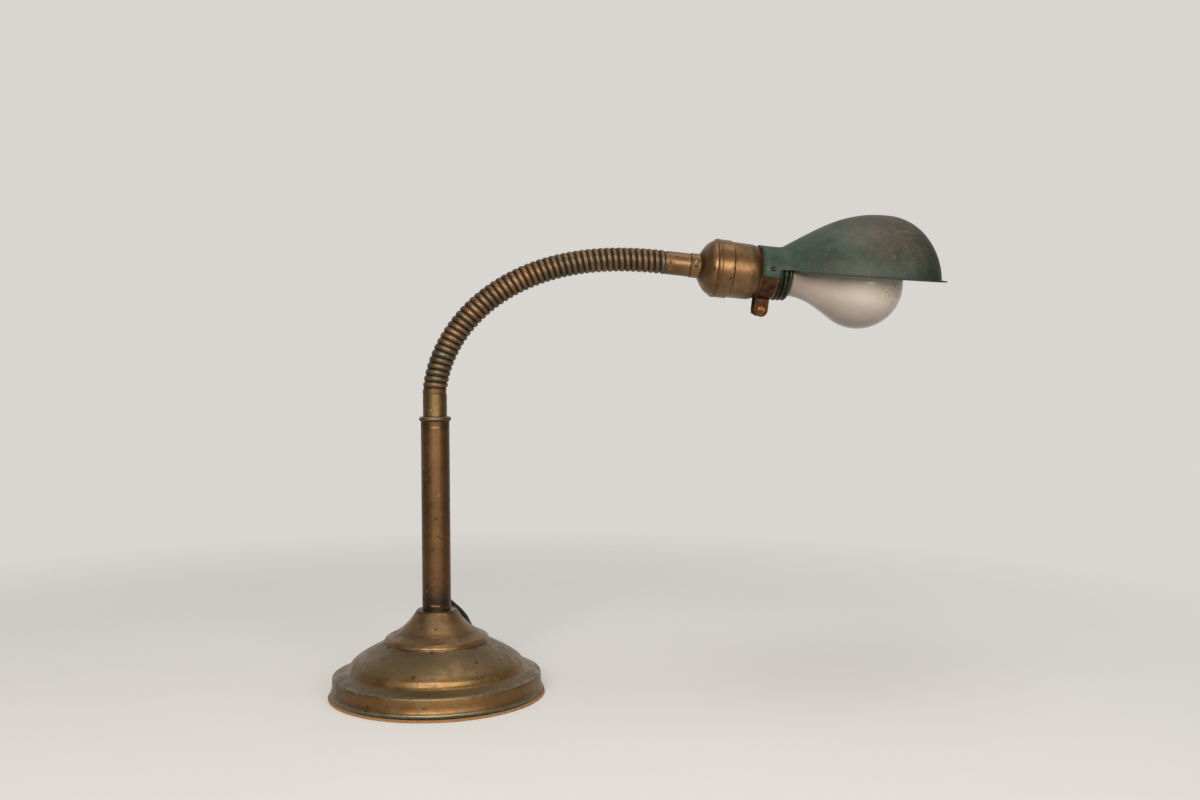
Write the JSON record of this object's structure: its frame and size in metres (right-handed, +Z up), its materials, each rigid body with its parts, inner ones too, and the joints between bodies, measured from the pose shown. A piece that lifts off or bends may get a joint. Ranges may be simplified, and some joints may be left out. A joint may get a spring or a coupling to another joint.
{
  "type": "gooseneck desk lamp",
  "caption": "Desk lamp with a round weighted base, brass post, flexible interlocked neck, keyed bulb socket, frosted bulb and a half shade clamped round the socket.",
  "frame": {"origin": "centre of the cork pad's underside, on the post's axis, on the table", "axes": "+Z up the post, +X the way the neck leans and the head points"},
  "size_m": [0.4161, 0.2214, 0.3144],
  "materials": {
    "aged_brass": "tarnished brass with brown stains",
    "neck_bronze": "dull bronze with a green bloom in the grooves",
    "ferrule_brass": "rubbed brass",
    "socket_brass": "rubbed brass, darker in the corners",
    "contact_brass": "bright brass",
    "dark_bronze": "blackened brass",
    "copper_strip": "coppery worn strip",
    "green_enamel": "worn grey-green enamel",
    "cast_iron": "rough casting",
    "plated_steel": "dull zinc plate",
    "cork": "cork sheet",
    "black_felt": "felt",
    "black_rubber": "matte",
    "black_plug": "moulded",
    "black_phenolic": "moulded phenolic",
    "porcelain": "white glaze",
    "fibre_paper": "pressed fibre",
    "frosted_glass": "acid frosted inside",
    "clear_glass": "clear",
    "black_glass": "opaque insulating glass",
    "bulb_aluminium": "threaded sheet",
    "solder": "grey solder"
  },
  "bodies": {
    "base": {"base_shell": "aged_brass", "base_weight": "cast_iron", "cork_pad": "cork", "felt_ring": "black_felt", "base_pipe": "plated_steel", "base_nut": "plated_steel", "base_washer": "plated_steel", "post_tube": "aged_brass", "post_foot_plug": "plated_steel", "post_collar": "aged_brass", "cord_bushing": "black_rubber", "post_lead": "black_rubber", "lower_ferrule": "ferrule_brass", "neck_foot": "neck_bronze", "cord_tube": "black_rubber", "cord_coil": "black_rubber", "cord_tail": "black_rubber", "plug_body": "black_plug", "plug_blades": "contact_brass"},
    "link_01": {"neck_link_01": "neck_bronze"},
    "link_02": {"neck_link_02": "neck_bronze"},
    "link_03": {"neck_link_03": "neck_bronze"},
    "link_04": {"neck_link_04": "neck_bronze"},
    "link_05": {"neck_link_05": "neck_bronze"},
    "link_06": {"neck_link_06": "neck_bronze"},
    "link_07": {"neck_link_07": "neck_bronze"},
    "link_08": {"neck_link_08": "neck_bronze"},
    "link_09": {"neck_link_09": "neck_bronze"},
    "link_10": {"neck_link_10": "neck_bronze"},
    "link_11": {"neck_link_11": "neck_bronze"},
    "link_12": {"neck_link_12": "neck_bronze"},
    "link_13": {"neck_link_13": "neck_bronze"},
    "link_14": {"neck_link_14": "neck_bronze"},
    "link_15": {"neck_link_15": "neck_bronze"},
    "head": {"neck_tip": "neck_bronze", "upper_ferrule": "ferrule_brass", "cap_bushing": "ferrule_brass", "cap_screw": "plated_steel", "socket_cap": "socket_brass", "socket_shell": "socket_brass", "shell_liner": "fibre_paper", "socket_core": "porcelain", "screw_shell": "contact_brass", "centre_contact": "contact_brass", "terminal_screws": "contact_brass", "socket_leads": "black_rubber", "mouth_ring": "dark_bronze"},
    "key": {"key_shaft": "contact_brass", "turn_key": "black_phenolic"},
    "shade": {"shade_shell": "green_enamel", "shade_clamp": "copper_strip", "shade_rivets": "copper_strip", "clamp_screw": "copper_strip", "clamp_nut": "copper_strip"},
    "contact": {"bulb_contact": "solder"},
    "bulb": {"bulb_glass": "frosted_glass", "bulb_cap": "bulb_aluminium", "bulb_insulator": "black_glass", "bulb_stem": "clear_glass"}
  },
  "joints": [
    {"name": "lower_neck_bend", "type": "hinge", "parent": "base", "child": "link_01", "pos_m": [0.00059, 0, 0.20196], "axis": [0, 1, 0], "range_deg": [-9.5, 2.5]},
    {"name": "lower_neck_bend_2", "type": "hinge", "parent": "link_01", "child": "link_02", "pos_m": [0.00357, 0, 0.21357], "axis": [0, 1, 0], "range_deg": [-9.5, 2.5]},
    {"name": "lower_neck_bend_3", "type": "hinge", "parent": "link_02", "child": "link_03", "pos_m": [0.00822, 0, 0.22462], "axis": [0, 1, 0], "range_deg": [-9.5, 2.5]},
    {"name": "neck_sweep", "type": "hinge", "parent": "link_03", "child": "link_04", "pos_m": [0.01437, 0, 0.23491], "axis": [-0.8218, 0, 0.5697], "range_deg": [-8.5, 8.5]},
    {"name": "lower_neck_bend_4", "type": "hinge", "parent": "link_04", "child": "link_05", "pos_m": [0.02183, 0, 0.2443], "axis": [0, 1, 0], "range_deg": [-9.5, 2.5]},
    {"name": "lower_neck_bend_5", "type": "hinge", "parent": "link_05", "child": "link_06", "pos_m": [0.0304, 0, 0.25269], "axis": [0, 1, 0], "range_deg": [-9.5, 2.5]},
    {"name": "neck_sweep_2", "type": "hinge", "parent": "link_06", "child": "link_07", "pos_m": [0.03989, 0, 0.26002], "axis": [-0.5658, 0, 0.8246], "range_deg": [-8.5, 8.5]},
    {"name": "upper_neck_bend", "type": "hinge", "parent": "link_07", "child": "link_08", "pos_m": [0.05013, 0, 0.26627], "axis": [0, 1, 0], "range_deg": [-7, 5.5]},
    {"name": "upper_neck_bend_2", "type": "hinge", "parent": "link_08", "child": "link_09", "pos_m": [0.06096, 0, 0.27144], "axis": [0, 1, 0], "range_deg": [-7, 5.5]},
    {"name": "neck_sweep_3", "type": "hinge", "parent": "link_09", "child": "link_10", "pos_m": [0.07222, 0, 0.27557], "axis": [-0.3019, 0, 0.9533], "range_deg": [-8.5, 8.5]},
    {"name": "upper_neck_bend_3", "type": "hinge", "parent": "link_10", "child": "link_11", "pos_m": [0.0838, 0, 0.27871], "axis": [0, 1, 0], "range_deg": [-7, 5.5]},
    {"name": "upper_neck_bend_4", "type": "hinge", "parent": "link_11", "child": "link_12", "pos_m": [0.09559, 0, 0.28092], "axis": [0, 1, 0], "range_deg": [-7, 5.5]},
    {"name": "neck_sweep_4", "type": "hinge", "parent": "link_12", "child": "link_13", "pos_m": [0.10751, 0, 0.28228], "axis": [-0.0804, 0, 0.9968], "range_deg": [-8.5, 8.5]},
    {"name": "upper_neck_bend_5", "type": "hinge", "parent": "link_13", "child": "link_14", "pos_m": [0.11949, 0, 0.28287], "axis": [0, 1, 0], "range_deg": [-7, 5.5]},
    {"name": "upper_neck_bend_6", "type": "hinge", "parent": "link_14", "child": "link_15", "pos_m": [0.13149, 0, 0.2828], "axis": [0, 1, 0], "range_deg": [-7, 5.5]},
    {"name": "neck_sweep_5", "type": "hinge", "parent": "link_15", "child": "head", "pos_m": [0.14347, 0, 0.28213], "axis": [0.077, 0, 0.997], "range_deg": [-8.5, 8.5]},
    {"name": "shade_turn", "type": "hinge", "parent": "head", "child": "shade", "pos_m": [0.21624, 0, 0.27472], "axis": [0.9947, 0, -0.1026], "continuous": true},
    {"name": "key_turn", "type": "hinge", "parent": "head", "child": "key", "pos_m": [0.20252, 0, 0.27614], "axis": [0, 1, 0], "continuous": true},
    {"name": "bulb_travel", "type": "slide", "parent": "head", "child": "contact", "axis": [0.9947, 0, -0.1026], "range_m": [0, 0.01815]},
    {"name": "bulb_turn", "type": "hinge", "parent": "contact", "child": "bulb", "pos_m": [0.21087, 0, 0.27528], "axis": [0.9947, 0, -0.1026], "range_deg": [0, 1800]}
  ],
  "couplings": [
    {"joint": "lower_neck_bend_2", "follows": "lower_neck_bend", "ratio": 1},
    {"joint": "lower_neck_bend_3", "follows": "lower_neck_bend", "ratio": 1},
    {"joint": "lower_neck_bend_4", "follows": "lower_neck_bend", "ratio": 1},
    {"joint": "lower_neck_bend_5", "follows": "lower_neck_bend", "ratio": 1},
    {"joint": "neck_sweep_2", "follows": "neck_sweep", "ratio": 1},
    {"joint": "upper_neck_bend_2", "follows": "upper_neck_bend", "ratio": 1},
    {"joint": "neck_sweep_3", "follows": "neck_sweep", "ratio": 1},
    {"joint": "upper_neck_bend_3", "follows": "upper_neck_bend", "ratio": 1},
    {"joint": "upper_neck_bend_4", "follows": "upper_neck_bend", "ratio": 1},
    {"joint": "neck_sweep_4", "follows": "neck_sweep", "ratio": 1},
    {"joint": "upper_neck_bend_5", "follows": "upper_neck_bend", "ratio": 1},
    {"joint": "upper_neck_bend_6", "follows": "upper_neck_bend", "ratio": 1},
    {"joint": "neck_sweep_5", "follows": "neck_sweep", "ratio": 1},
    {"joint": "bulb_travel", "follows": "bulb_turn", "m_per_rad": 0.00057757}
  ]
}
